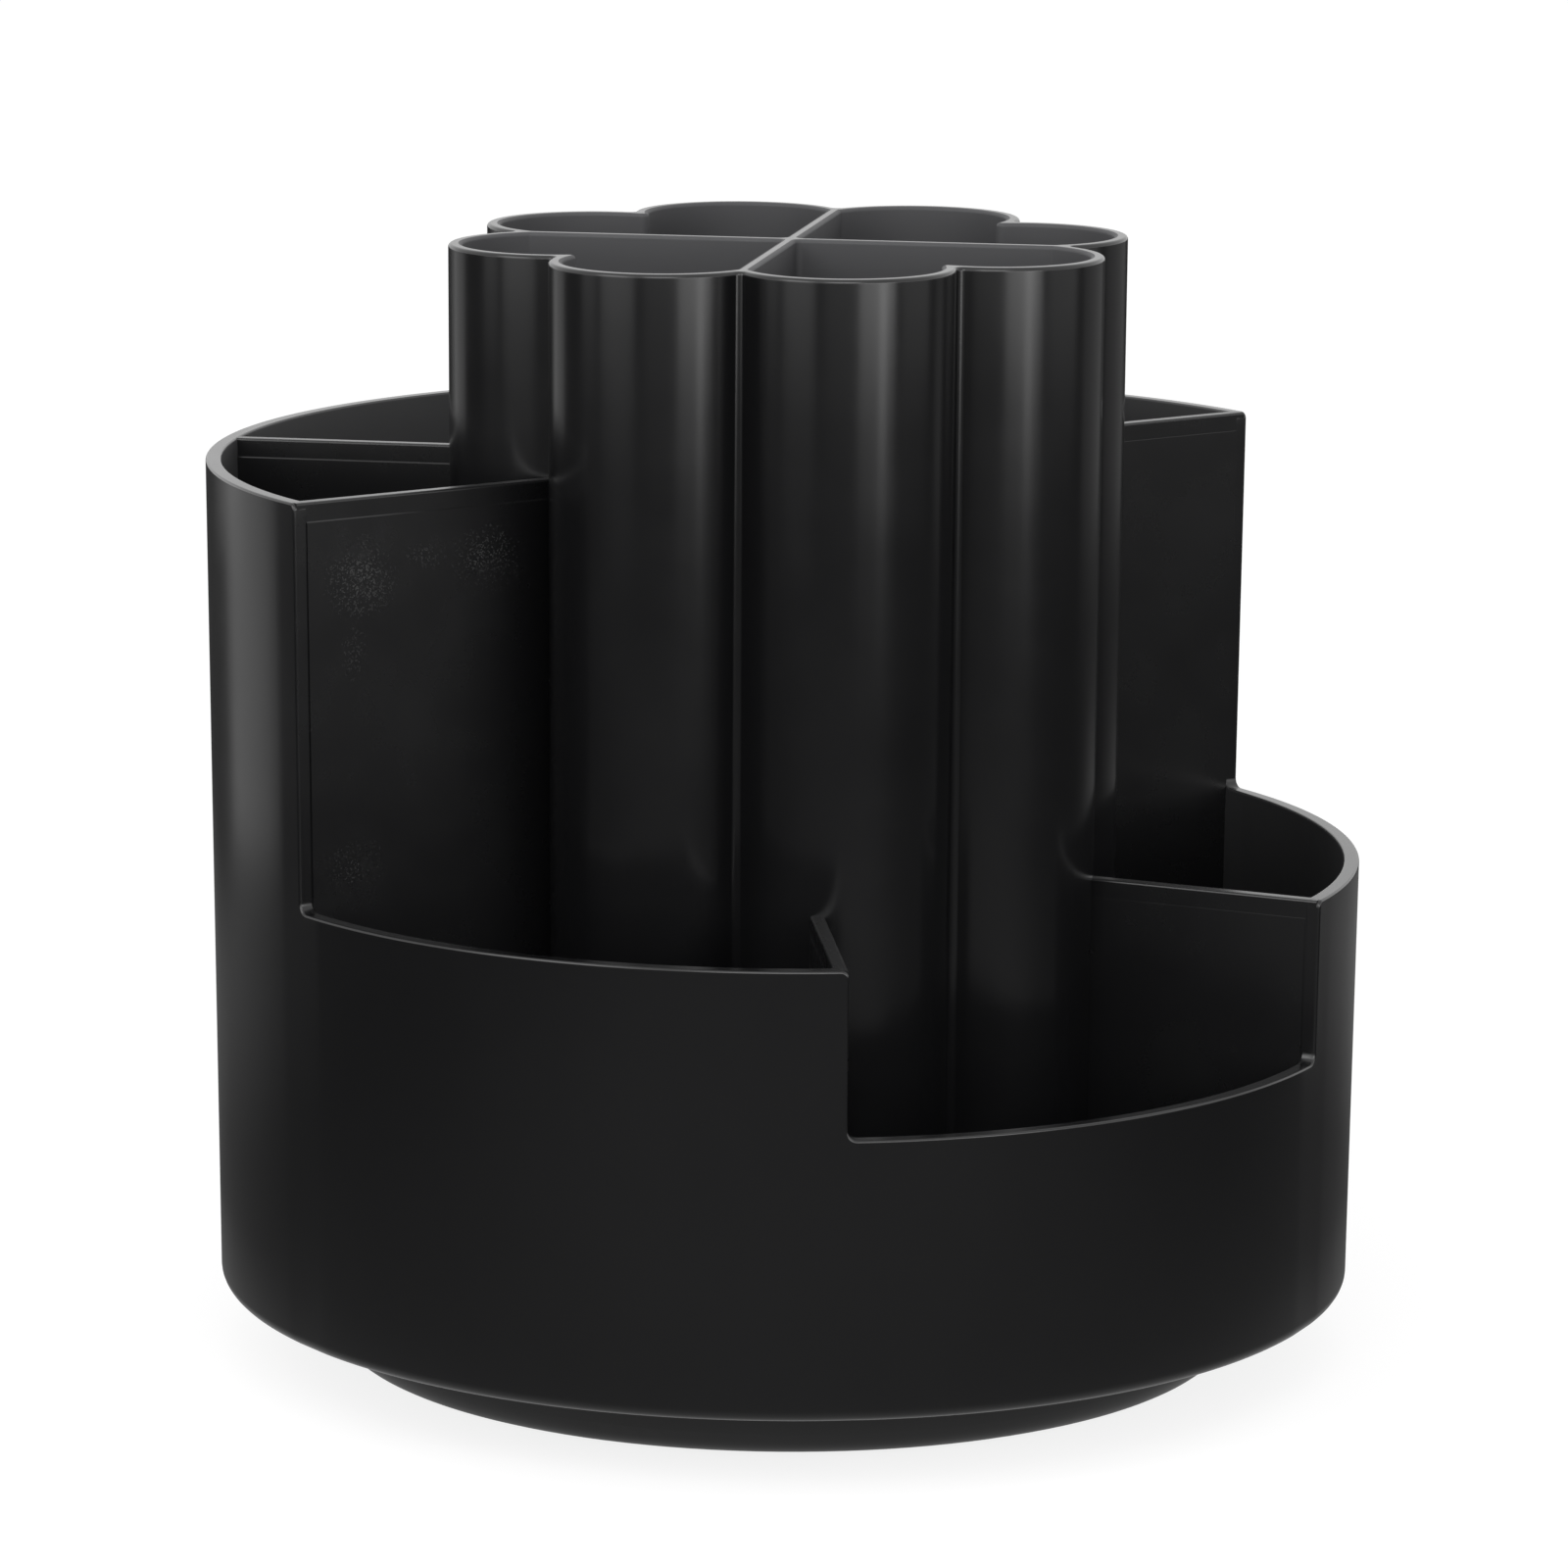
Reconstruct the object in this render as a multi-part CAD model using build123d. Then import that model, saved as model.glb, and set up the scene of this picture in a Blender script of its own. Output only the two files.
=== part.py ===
from build123d import *
import os
from math import cos, radians, tan

# Rotating desk organizer, in millimetres. The origin is on the desk, under the turning axis.
# +Z is up and the low front compartment faces -Y.

# Stepped bin: one moulding with its floor, wall and six dividers
rim_diameter = 150.0
tall_rim_height = 117.5
side_rim_height = 66.0
front_rim_height = 45.0
bin_wall = 2.0
bin_draft_angle = 0.6
skirt_height = 9.5
skirt_fillet = 1.8
floor_underside = 14.0
floor_thickness = 2.0
divider_rim_wall = 1.8
divider_root_wall = 2.6
divider_land_height = 2.4
divider_ledge = 0.15
divider_seat_gap = 0.15
rim_fillet = 0.85
notch_fillet = 1.3
step_corner_fillet = 0.9
front_step_angle = 60.0
rear_divider_angle = 45.0
skirt_rib_count = 24
skirt_rib_wall = 1.4
skirt_rib_height = 2.5
skirt_rib_length = 11.0

# Pen tubes: eight lobes round a cross of two walls
tube_height = 145.5
lobe_count = 8
lobe_ring_share = 0.404
lobe_share = 0.18667
tube_wall = 1.8
tube_floor = 1.6
tube_draft_angle = 0.2
cross_wall = 1.8
cusp_fillet = 0.8
tube_corner_fillet = 0.9
tube_rim_fillet = 0.75
tube_boss_radius = 3.2
tube_boss_height = 14.0
tube_boss_inset = 3.4

# Turntable: base dish, ball ring and top plate. Shares are of the rim's radius.
base_share = 0.79333
base_wall = 2.0
base_floor = 2.2
base_bottom_fillet = 3.0
base_rim_gap = 1.2
base_rib_wall = 1.4
base_rib_drop = 1.0
rib_count = 8
foot_radius = 4.2
foot_thickness = 2.0
foot_stand = 1.0
foot_ring_share = 0.62667
foot_edge_fillet = 0.4
foot_pocket_gap = 0.1
ball_diameter = 5.0
ball_count = 16
ball_ring_share = 0.61333
race_clearance = 0.12
race_ridge_width = 7.0
race_gap = 2.0
race_roof = 1.8
race_core_width = 2.6
race_core_roof = 1.4
cage_thickness = 1.4
cage_width = 9.0
cage_clearance = 0.25
plate_thickness = 2.4
plate_margin = 4.0
plate_rib_wall = 1.4
plate_rib_inset = 12.0
plate_rib_height = 1.0

# Centre pivot
journal_radius = 6.0
journal_clearance = 0.05
hub_wall = 3.2
hub_top_gap = 0.8
washer_radius = 9.0
washer_thickness = 1.0
washer_bore_clearance = 0.1
washer_running_gap = 0.2
washer_pocket_gap = 0.6
pocket_wall = 2.0
pivot_shank_radius = 2.0
pivot_head_radius = 3.8
pivot_head_height = 1.8
pivot_tip_margin = 0.6
plug_thickness = 1.0
plug_head_gap = 0.4
plug_ledge = 1.0
plug_clearance = 0.1
plug_lip_wall = 0.8
plug_lip_height = 0.7

# Tube screws
screw_radius = 1.5
screw_head_radius = 2.9
screw_head_height = 1.8
screw_reach = 10.0
screw_hole_clearance = 0.3
thread_clearance = 0.05
head_edge_fillet = 0.7
drive_slot_width = 0.8
drive_slot_depth = 0.9
drive_slot_length = 3.4

cut_overrun = 1.0

# Places that follow from the sizes above
rim_radius = rim_diameter / 2
lobe_ring_radius = rim_radius * lobe_ring_share
lobe_radius = rim_radius * lobe_share
lobe_half_step = 180 / lobe_count
base_radius = rim_radius * base_share
foot_ring_radius = rim_radius * foot_ring_share
ball_ring_radius = rim_radius * ball_ring_share
floor_top = floor_underside + floor_thickness
plate_underside = floor_underside - plate_thickness
ball_radius = ball_diameter / 2
groove_radius = ball_radius + race_clearance
ball_height = floor_underside - race_roof - groove_radius
upper_ridge_bottom = ball_height + race_gap / 2
lower_ridge_top = ball_height - race_gap / 2
race_inner = ball_ring_radius - race_ridge_width / 2
race_outer = ball_ring_radius + race_ridge_width / 2
plate_radius = race_outer + plate_margin
base_floor_top = foot_stand + base_floor
base_rim_height = floor_underside - base_rim_gap
plug_top = foot_stand + plug_thickness
pivot_head_bottom = plug_top + plug_head_gap
washer_bottom = pivot_head_bottom + pivot_head_height
journal_end = washer_bottom + washer_thickness
hub_shoulder = journal_end + washer_running_gap
pocket_radius = washer_radius + washer_pocket_gap
screw_ring_radius = lobe_ring_radius * cos(radians(lobe_half_step)) + tube_boss_inset
screw_angles = [45, 135, 225, 315]
foot_angles = {"rear_right": 45, "rear_left": 135, "front_left": 225, "front_right": 315}


def wall_radius(height):
    """Outer radius of the bin at a height: the wall leans out towards its rim."""
    return rim_radius - (tall_rim_height - height) * tan(radians(bin_draft_angle))


def disc(radius, low, high):
    """Upright cylinder about the turning axis between two heights."""
    return Pos(0, 0, (low + high) / 2) * Cylinder(radius, high - low)


def ring(outer, inner, low, high):
    """Upright ring about the turning axis between two heights."""
    return disc(outer, low, high) - disc(inner, low - cut_overrun, high + cut_overrun)


def radial_bar(inner, outer, width, low, high):
    """Flat bar along +X from one radius to another, for ribs."""
    return Pos((inner + outer) / 2, 0, (low + high) / 2) * Box(outer - inner, width, high - low)


def turned(shape, angles):
    """Copies of a shape turned about the axis."""
    return [Rot(0, 0, angle) * shape for angle in angles]


def spread(count, start=0):
    """Angles of a number of copies spaced evenly round the axis."""
    return [start + index * 360 / count for index in range(count)]


def save(shape, name):
    export_step(shape, f"parts/{name}.step")


# Stepped bin

def wall_section():
    """Half section of floor, skirt and wall up to the tall rim, in the XZ plane."""
    floor_side = wall_radius(floor_underside) - bin_wall
    skirt_out = wall_radius(skirt_height)
    fillet_side = wall_radius(skirt_height + skirt_fillet)
    fillet_middle = skirt_fillet * (1 - cos(radians(45)))
    outline = [
        Line((0, floor_underside), (floor_side, floor_underside)),
        Line((floor_side, floor_underside), (skirt_out - bin_wall, skirt_height)),
        Line((skirt_out - bin_wall, skirt_height), (skirt_out - skirt_fillet, skirt_height)),
        ThreePointArc(
            (skirt_out - skirt_fillet, skirt_height),
            (skirt_out - fillet_middle, skirt_height + fillet_middle),
            (fillet_side, skirt_height + skirt_fillet),
        ),
        Line((fillet_side, skirt_height + skirt_fillet), (rim_radius, tall_rim_height)),
        Line((rim_radius, tall_rim_height), (rim_radius - bin_wall, tall_rim_height)),
        Line((rim_radius - bin_wall, tall_rim_height), (wall_radius(floor_top) - bin_wall, floor_top)),
        Line((wall_radius(floor_top) - bin_wall, floor_top), (0, floor_top)),
        Line((0, floor_top), (0, floor_underside)),
    ]
    return make_face(Plane.XZ * Wire(outline))


def step_cut(low, high, angle):
    """Room over a lower rim in front of a right-hand divider, with rounded corners."""
    face = divider_rim_wall / 2
    inset = face - step_corner_fillet
    corner_low = high - step_corner_fillet
    room = Pos(face, low) * Rectangle(rim_diameter, high + cut_overrun - low, align=(Align.MIN, Align.MIN))
    room = fillet(room.vertices().group_by(Axis.Y)[0].sort_by(Axis.X)[0], notch_fillet)
    corner = Rectangle(step_corner_fillet, step_corner_fillet + cut_overrun, align=(Align.MIN, Align.MIN))
    corner = Pos(inset, corner_low) * (corner - Circle(step_corner_fillet))
    facing = Plane((0, 0, 0), x_dir=(0, -1, 0), z_dir=(-1, 0, 0))
    return Rot(0, 0, angle) * extrude(facing * (room + corner), rim_diameter, dir=(1, 0, 0))


def stepped_wall():
    """Floor, skirt and wall, cut down to the lower rims and rounded along the whole rim."""
    side = step_cut(side_rim_height, tall_rim_height, 0)
    front = step_cut(front_rim_height, side_rim_height, front_step_angle / 2 - 90)
    wall = Rot(0, 0, 90) * revolve(wall_section(), Axis.Z)
    wall = wall - side - mirror(side, Plane.YZ)
    wall -= front & mirror(front, Plane.YZ)
    rim = wall.edges().filter_by(GeomType.LINE, reverse=True)
    rim = rim.filter_by_position(Axis.Z, front_rim_height - notch_fillet, tall_rim_height + notch_fillet)
    return fillet(rim, rim_fillet)


def divider_plate(top, angle):
    """Radial wall with a rounded edge, a thin band under it and a panel that thickens to the floor."""
    half = divider_rim_wall / 2
    shoulder = top - half
    land = top - divider_land_height
    right_side = [
        (half, shoulder),
        (half, land),
        (half + divider_ledge, land - divider_ledge),
        (divider_root_wall / 2, floor_underside),
    ]
    left_side = [(-across, height) for across, height in reversed(right_side)]
    crown = ThreePointArc((-half, shoulder), (0, top), (half, shoulder))
    section = make_face(Plane.YZ * (Polyline(right_side + left_side) + crown))
    return Rot(0, 0, angle) * extrude(section, rim_radius, dir=(1, 0, 0))


def divider_space(top):
    """The room inside the wall up to a height, reaching just into the wall."""
    low = floor_underside
    reach = bin_wall - divider_ledge
    cone = Cone(wall_radius(low) - reach, wall_radius(top) - reach, top - low)
    return Pos(0, 0, (low + top) / 2) * cone


def skirt_rib():
    """One short stiffening rib in the corner under the floor, outside the turntable."""
    outer = wall_radius(floor_underside) - bin_wall / 2
    low = floor_underside - skirt_rib_height
    return radial_bar(outer - skirt_rib_length, outer, skirt_rib_wall, low, floor_top - floor_thickness / 2)


def outer_bin():
    shell = stepped_wall()
    dividers = [
        (tall_rim_height, 0),
        (tall_rim_height, rear_divider_angle),
        (tall_rim_height, 180 - rear_divider_angle),
        (tall_rim_height, 180),
        (side_rim_height, -90 - front_step_angle / 2),
        (side_rim_height, -90 + front_step_angle / 2),
    ]
    tubes = tube_envelope(divider_seat_gap)
    for top, angle in dividers:
        shell += (divider_plate(top, angle) & divider_space(top)) - tubes
    for rib in turned(skirt_rib(), spread(skirt_rib_count)):
        shell += rib
    hole = disc(screw_radius + screw_hole_clearance, floor_underside - cut_overrun, floor_top + cut_overrun)
    for cut in turned(Pos(screw_ring_radius, 0, 0) * hole, screw_angles):
        shell -= cut
    return shell


# Pen tubes

def lobes(radius):
    """Flat outline of the eight lobes with a given lobe radius. Each circle's seam is turned inwards."""
    outline = Circle(lobe_ring_radius * cos(radians(lobe_half_step)))
    for angle in spread(lobe_count, lobe_half_step):
        outline += Rot(0, 0, angle) * Pos(lobe_ring_radius, 0) * Rot(0, 0, 180) * Circle(radius)
    return outline


def drafted(outline, low, high, angle):
    """Solid from an outline at its top, drawn in towards its bottom by the draft angle."""
    solid = extrude(Pos(0, 0, low) * outline, high - low)
    return draft(solid.faces().filter_by(Axis.Z, reverse=True), Plane((0, 0, high)), -angle)


def tube_envelope(gap):
    """The tubes' outside as one solid, grown by a gap."""
    outline = lobes(lobe_radius + gap)
    return drafted(fillet(outline.vertices(), cusp_fillet - gap), floor_top, tube_height, tube_draft_angle)


def pen_tube_cluster():
    cluster = tube_envelope(0)
    bores = lobes(lobe_radius - tube_wall)
    for angle in screw_angles[:2]:
        bores -= Rot(0, 0, angle) * Rectangle(rim_diameter, cross_wall)
    for bore in fillet(bores.vertices(), tube_corner_fillet).faces():
        cluster -= drafted(bore, floor_top + tube_floor, tube_height, tube_draft_angle)
    rim = cluster.faces().sort_by(Axis.Z)[-1]
    cluster = fillet(rim.edges(), tube_rim_fillet)
    boss = disc(tube_boss_radius, floor_top, floor_top + tube_boss_height)
    pilot_top = floor_top + screw_reach + cut_overrun
    pilot = disc(screw_radius + thread_clearance, floor_top - cut_overrun, pilot_top)
    for angle in screw_angles:
        place = Rot(0, 0, angle) * Pos(screw_ring_radius, 0, 0)
        cluster += place * boss
        cluster -= place * pilot
    return cluster


# Turntable

def race_groove():
    """The ring-shaped track that the balls run in, cut into both ridges."""
    return Pos(0, 0, ball_height) * Torus(ball_ring_radius, groove_radius)


def turntable_top_plate():
    """Plate screwed under the bin: upper ball track, stiffening ribs and the journal it turns on."""
    plate = disc(plate_radius, plate_underside, floor_underside)
    plate += ring(race_outer, race_inner, upper_ridge_bottom, plate_underside)
    plate += disc(journal_radius, journal_end, plate_underside)
    rib_low = plate_underside - plate_rib_height
    rib = radial_bar(plate_rib_inset, race_inner + race_clearance, plate_rib_wall, rib_low, plate_underside)
    for copy in turned(rib, spread(rib_count, 180 / rib_count)):
        plate += copy
    plate -= race_groove()
    pilot_top = floor_underside - pivot_tip_margin + thread_clearance
    plate -= disc(pivot_shank_radius + thread_clearance, journal_end - cut_overrun, pilot_top)
    hole = disc(screw_radius + screw_hole_clearance, plate_underside - cut_overrun, floor_top)
    for cut in turned(Pos(screw_ring_radius, 0, 0) * hole, screw_angles):
        plate -= cut
    return plate


def base_section():
    """Half section of the base's floor and wall, in the XZ plane."""
    inner = base_radius - base_wall
    fillet_middle = base_bottom_fillet * (1 - cos(radians(45)))
    rim_middle = base_radius - base_wall / 2
    shoulder = base_rim_height - base_wall / 2
    outline = [
        Line((0, foot_stand), (base_radius - base_bottom_fillet, foot_stand)),
        ThreePointArc(
            (base_radius - base_bottom_fillet, foot_stand),
            (base_radius - fillet_middle, foot_stand + fillet_middle),
            (base_radius, foot_stand + base_bottom_fillet),
        ),
        Line((base_radius, foot_stand + base_bottom_fillet), (base_radius, shoulder)),
        ThreePointArc((base_radius, shoulder), (rim_middle, base_rim_height), (inner, shoulder)),
        Line((inner, shoulder), (inner, base_floor_top)),
        Line((inner, base_floor_top), (0, base_floor_top)),
        Line((0, base_floor_top), (0, foot_stand)),
    ]
    return make_face(Plane.XZ * Wire(outline))


def base_dish():
    """Standing part: dish with the lower ball track, the pivot hub, ribs and pockets for its feet."""
    dish = revolve(base_section(), Axis.Z)
    dish += ring(race_outer, race_inner, base_floor_top, lower_ridge_top)
    dish += disc(pocket_radius + pocket_wall, base_floor_top, hub_shoulder + pocket_wall)
    dish += disc(journal_radius + journal_clearance + hub_wall, base_floor_top, plate_underside - hub_top_gap)
    rib_top = lower_ridge_top - base_rib_drop
    rib = radial_bar(pocket_radius, ball_ring_radius - groove_radius, base_rib_wall, foot_stand, rib_top)
    for copy in turned(rib, spread(rib_count)):
        dish += copy
    dish -= race_groove()
    core_top = ball_height - groove_radius - race_core_roof
    core_outer = ball_ring_radius + race_core_width / 2
    dish -= ring(core_outer, core_outer - race_core_width, foot_stand - cut_overrun, core_top)
    dish -= disc(journal_radius + journal_clearance, foot_stand, floor_top)
    dish -= disc(pocket_radius, foot_stand - cut_overrun, hub_shoulder)
    dish -= disc(pocket_radius + plug_ledge, foot_stand - cut_overrun, plug_top)
    pocket = disc(foot_radius + foot_pocket_gap, foot_stand - cut_overrun, foot_thickness)
    for angle in foot_angles.values():
        dish -= Rot(0, 0, angle) * Pos(foot_ring_radius, 0, 0) * pocket
    return dish


def rubber_foot(angle):
    """Round rubber pad with a softened lower edge, seated in its pocket under the base."""
    pad = disc(foot_radius, 0, foot_thickness)
    pad = fillet(pad.edges().group_by(Axis.Z)[0], foot_edge_fillet)
    return Rot(0, 0, angle) * Pos(foot_ring_radius, 0, 0) * pad


def ball_places():
    """Where the balls sit, evenly round their ring."""
    return [Rot(0, 0, angle) * Pos(ball_ring_radius, 0, ball_height) for angle in spread(ball_count)]


def ball_cage():
    half = cage_width / 2
    low = ball_height - cage_thickness / 2
    cage = ring(ball_ring_radius + half, ball_ring_radius - half, low, low + cage_thickness)
    for place in ball_places():
        cage -= place * Cylinder(ball_radius + cage_clearance, cage_thickness + cut_overrun)
    return cage


def bearing_balls():
    return Compound([place * Sphere(ball_radius) for place in ball_places()])


# Pivot and fasteners

def pan_head(radius, height):
    """Screw head under the XY plane, with a rounded edge and a cross slot in its lower face."""
    head = fillet(disc(radius, -height, 0).edges().group_by(Axis.Z)[0], head_edge_fillet)
    slot = Pos(0, 0, -height) * Box(drive_slot_length, drive_slot_width, drive_slot_depth * 2)
    return head - slot - Rot(0, 0, 90) * slot


def pivot_screw():
    head = Pos(0, 0, washer_bottom) * pan_head(pivot_head_radius, pivot_head_height)
    return head + disc(pivot_shank_radius, washer_bottom, floor_underside - pivot_tip_margin)


def pivot_washer():
    return ring(washer_radius, pivot_shank_radius + washer_bore_clearance, washer_bottom, journal_end)


def tube_screws():
    """Four screws from below, through the top plate and the bin's floor into the tubes' bosses."""
    screw = Pos(0, 0, plate_underside) * pan_head(screw_head_radius, screw_head_height)
    screw += disc(screw_radius, plate_underside, floor_top + screw_reach)
    return Compound(turned(Pos(screw_ring_radius, 0, 0) * screw, screw_angles))


def pivot_plug():
    """Cap that closes the pivot's pocket from below, with a lip that grips inside it."""
    lip_radius = pocket_radius - plug_clearance
    cap = disc(pocket_radius + plug_ledge - plug_clearance, foot_stand, plug_top)
    return cap + ring(lip_radius, lip_radius - plug_lip_wall, plug_top, plug_top + plug_lip_height)


os.makedirs("parts", exist_ok=True)
save(outer_bin(), "outer_bin")
save(pen_tube_cluster(), "pen_tube_cluster")
save(turntable_top_plate(), "turntable_top_plate")
save(tube_screws(), "tube_screws")
save(pivot_screw(), "pivot_screw")
save(pivot_washer(), "pivot_washer")
save(ball_cage(), "ball_cage")
save(bearing_balls(), "bearing_balls")
save(base_dish(), "base_dish")
save(pivot_plug(), "pivot_plug")
for name, angle in foot_angles.items():
    save(rubber_foot(angle), f"rubber_foot_{name}")
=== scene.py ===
from math import asin, atan2, cos, degrees, hypot, pi, radians, sin, sqrt, tan

import bmesh
import bpy
from mathutils import Matrix, Vector


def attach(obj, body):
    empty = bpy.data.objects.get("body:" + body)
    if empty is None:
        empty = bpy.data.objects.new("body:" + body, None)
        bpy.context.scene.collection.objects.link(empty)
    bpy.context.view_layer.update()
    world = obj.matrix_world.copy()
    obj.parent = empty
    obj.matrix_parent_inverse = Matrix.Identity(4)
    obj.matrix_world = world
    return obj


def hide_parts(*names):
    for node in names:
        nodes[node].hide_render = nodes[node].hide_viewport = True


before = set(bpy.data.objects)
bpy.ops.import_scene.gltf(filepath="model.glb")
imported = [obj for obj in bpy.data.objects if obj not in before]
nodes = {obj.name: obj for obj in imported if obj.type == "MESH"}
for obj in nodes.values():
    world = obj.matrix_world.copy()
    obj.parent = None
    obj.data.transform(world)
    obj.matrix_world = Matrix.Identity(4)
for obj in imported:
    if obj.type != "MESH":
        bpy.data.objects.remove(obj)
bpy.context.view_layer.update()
print("frame loaded")

mm = 0.001


# Colours and materials

def linear(code):
    channels = [int(code[i:i + 2], 16) / 255 for i in (1, 3, 5)]
    return [c / 12.92 if c <= 0.04045 else ((c + 0.055) / 1.055) ** 2.4 for c in channels] + [1.0]


def addNode(tree, kind, settings=None, links=None):
    # sockets by name or, for maths, by number
    node = tree.nodes.new(kind)
    for key, value in (settings or {}).items():
        if isinstance(key, int) or key in node.inputs:
            node.inputs[key].default_value = value
        else:
            setattr(node, key, value)
    for key, source in (links or {}).items():
        tree.links.new(source, node.inputs[key])
    return node


def addScuffs(tree, place, look):
    # pale fine specks inside soft oval patches on one flat face
    grit = addNode(tree, "ShaderNodeTexNoise", {"Scale": 1 / (look["speckSize"] * mm), "Detail": 2.0}, {"Vector": place})
    split = addNode(tree, "ShaderNodeSeparateXYZ", {}, {"Vector": place})
    near, far = look["scuffDepth"]
    face = addNode(tree, "ShaderNodeMath", {"operation": "COMPARE", 1: (near + far) / 2 * mm, 2: abs(far - near) / 2 * mm}, {0: split.outputs["Y"]})
    marks = None
    for x, z, wide, high, strength in look["scuffs"]:
        settings = {"vector_type": "POINT", "Location": (-x / wide, 0, -z / high), "Scale": (1 / (wide * mm), 0, 1 / (high * mm))}
        oval = addNode(tree, "ShaderNodeMapping", settings, {"Vector": place})
        reach = addNode(tree, "ShaderNodeVectorMath", {"operation": "LENGTH"}, {0: oval.outputs["Vector"]})
        fade = addNode(tree, "ShaderNodeMapRange", {"From Min": 0.0, "From Max": 1.0, "To Min": strength, "To Max": 0.0}, {"Value": reach.outputs["Value"]})
        if marks:
            marks = addNode(tree, "ShaderNodeMath", {"operation": "MAXIMUM"}, {0: marks, 1: fade.outputs["Result"]}).outputs["Value"]
        else:
            marks = fade.outputs["Result"]
    # the denser the patch, the more of the grit shows
    shown = addNode(tree, "ShaderNodeMath", {"operation": "MULTIPLY_ADD", 1: 0.12, 2: -0.62}, {0: marks})
    above = addNode(tree, "ShaderNodeMath", {"operation": "ADD"}, {0: grit.outputs["Fac"], 1: shown.outputs["Value"]})
    speck = addNode(tree, "ShaderNodeMapRange", {"From Min": 0.0, "From Max": 0.1}, {"Value": above.outputs["Value"]})
    patch = addNode(tree, "ShaderNodeMath", {"operation": "MULTIPLY"}, {0: speck.outputs["Result"], 1: marks})
    return addNode(tree, "ShaderNodeMath", {"operation": "MULTIPLY"}, {0: patch.outputs["Value"], 1: face.outputs["Value"]}).outputs["Value"]


def mouldedPlastic(name, look):
    material = bpy.data.materials.new(name)
    material.use_nodes = True
    tree = material.node_tree
    shader = tree.nodes["Principled BSDF"]
    place = addNode(tree, "ShaderNodeTexCoord").outputs["Object"]
    # faint uneven tone from the melt's flow
    flow = addNode(tree, "ShaderNodeTexNoise", {"Scale": 1 / (look["flowSize"] * mm), "Detail": 4.0, "Roughness": 0.6}, {"Vector": place})
    tone = addNode(tree, "ShaderNodeMapRange", {"From Min": 0.3, "From Max": 0.7}, {"Value": flow.outputs["Fac"]})
    tints = {"data_type": "RGBA", "A": linear(look["dark"]), "B": linear(look["light"])}
    colour = addNode(tree, "ShaderNodeMix", tints, {"Factor": tone.outputs["Result"]}).outputs["Result"]
    # painted light: the colour turns paler towards the top, where light falls in over the rims, and stays darker down
    # inside
    if "paintedRimLight" in look:
        low, high = look["paintedRimLightRise"]
        split = addNode(tree, "ShaderNodeSeparateXYZ", {}, {"Vector": place})
        rise = addNode(tree, "ShaderNodeMapRange", {"From Min": low * mm, "From Max": high * mm}, {"Value": split.outputs["Z"]})
        colour = addNode(tree, "ShaderNodeMix", {"data_type": "RGBA", "B": linear(look["paintedRimLight"])}, {"Factor": rise.outputs["Result"], "A": colour}).outputs["Result"]
    if "scuffs" in look:
        marks = addScuffs(tree, place, look)
        colour = addNode(tree, "ShaderNodeMix", {"data_type": "RGBA", "B": linear(look["dust"])}, {"Factor": marks, "A": colour}).outputs["Result"]
    tree.links.new(colour, shader.inputs["Base Color"])
    # the gloss wanders a little
    wander = addNode(tree, "ShaderNodeTexNoise", {"Scale": 1 / (look["glossSize"] * mm), "Detail": 5.0, "Roughness": 0.6}, {"Vector": place})
    gloss = addNode(tree, "ShaderNodeMapRange", {"From Min": 0.3, "From Max": 0.7, "To Min": look["glossy"], "To Max": look["dull"]}, {"Value": wander.outputs["Fac"]})
    tree.links.new(gloss.outputs["Result"], shader.inputs["Roughness"])
    # fine tooling grain over a slow waviness of the walls
    swell = addNode(tree, "ShaderNodeTexNoise", {"Scale": 1 / (look["waveSize"] * mm), "Detail": 1.0}, {"Vector": place})
    wave = addNode(tree, "ShaderNodeBump", {"Strength": 1.0, "Distance": look["waveDepth"] * mm}, {"Height": swell.outputs["Fac"]})
    tooling = addNode(tree, "ShaderNodeTexNoise", {"Scale": 1 / (look["grainSize"] * mm), "Detail": 2.0}, {"Vector": place})
    grain = addNode(tree, "ShaderNodeBump", {"Strength": 1.0, "Distance": look["grainDepth"] * mm}, {"Height": tooling.outputs["Fac"], "Normal": wave.outputs["Normal"]})
    tree.links.new(grain.outputs["Normal"], shader.inputs["Normal"])
    shader.inputs["IOR"].default_value = look["ior"]
    return material


def steel(name, look):
    material = bpy.data.materials.new(name)
    material.use_nodes = True
    tree = material.node_tree
    shader = tree.nodes["Principled BSDF"]
    shader.inputs["Metallic"].default_value = 1.0
    place = addNode(tree, "ShaderNodeTexCoord").outputs["Object"]
    cloud = addNode(tree, "ShaderNodeTexNoise", {"Scale": 1 / (look["toneSize"] * mm), "Detail": 4.0, "Roughness": 0.6}, {"Vector": place})
    tone = addNode(tree, "ShaderNodeMapRange", {"From Min": 0.3, "From Max": 0.7}, {"Value": cloud.outputs["Fac"]})
    tints = {"data_type": "RGBA", "A": linear(look["dark"]), "B": linear(look["light"])}
    colour = addNode(tree, "ShaderNodeMix", tints, {"Factor": tone.outputs["Result"]})
    tree.links.new(colour.outputs["Result"], shader.inputs["Base Color"])
    gloss = addNode(tree, "ShaderNodeMapRange", {"To Min": look["glossy"], "To Max": look["dull"]}, {"Value": tone.outputs["Result"]})
    tree.links.new(gloss.outputs["Result"], shader.inputs["Roughness"])
    grit = addNode(tree, "ShaderNodeTexNoise", {"Scale": 1 / (look["grainSize"] * mm), "Detail": 2.0}, {"Vector": place})
    bump = addNode(tree, "ShaderNodeBump", {"Strength": 1.0, "Distance": look["grainDepth"] * mm}, {"Height": grit.outputs["Fac"]})
    tree.links.new(bump.outputs["Normal"], shader.inputs["Normal"])
    return material


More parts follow.
